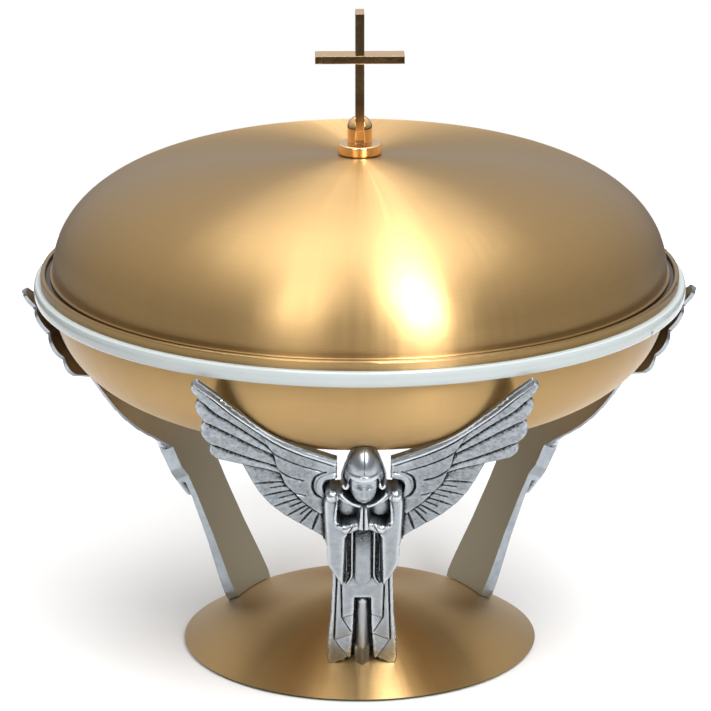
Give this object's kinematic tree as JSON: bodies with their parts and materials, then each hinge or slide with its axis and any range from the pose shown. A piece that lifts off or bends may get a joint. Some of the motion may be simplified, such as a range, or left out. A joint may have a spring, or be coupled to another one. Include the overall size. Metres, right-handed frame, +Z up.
{
  "type": "ciborium vessel",
  "caption": "Round covered ciborium: a shallow spun bowl with a white rim band and a domed lid with a cross, carried by winged angel castings on a domed foot.",
  "frame": {"origin": "centre of the foot's resting face", "axes": "+Z up along the vessel's axis, -Y towards the front angel, +X to the viewer's right"},
  "size_m": [0.2144, 0.2044, 0.2057],
  "materials": {
    "brushed_bronze": "satin, circularly brushed",
    "polished_bronze": "polished",
    "gilt_liner": "satin gilt",
    "white_enamel": "glossy enamel",
    "oxidised_pewter": "cast, oxidised and relieved",
    "steel_fasteners": "plain",
    "felt": "wool felt"
  },
  "bodies": {
    "vessel": {"base_dome": "brushed_bronze", "base_felt": "felt", "foot_screws": "steel_fasteners", "foot_washers": "steel_fasteners", "bowl": "brushed_bronze", "bowl_liner": "gilt_liner", "bowl_screws": "steel_fasteners", "bowl_washers": "steel_fasteners", "enamel_band": "white_enamel", "band_pin": "polished_bronze", "angel_front": "oxidised_pewter", "angel_right": "oxidised_pewter", "angel_left": "oxidised_pewter"},
    "lid": {"lid_shell": "brushed_bronze", "lid_ring": "gilt_liner", "finial_collar": "polished_bronze", "finial_post": "polished_bronze", "cross_upright": "polished_bronze", "cross_arm": "polished_bronze", "finial_screw": "steel_fasteners", "finial_washer": "steel_fasteners"}
  },
  "joints": [
    {"name": "lid_lift", "type": "slide", "parent": "vessel", "child": "lid", "axis": [0, 0, 1], "range_m": [0, 0.06]}
  ]
}
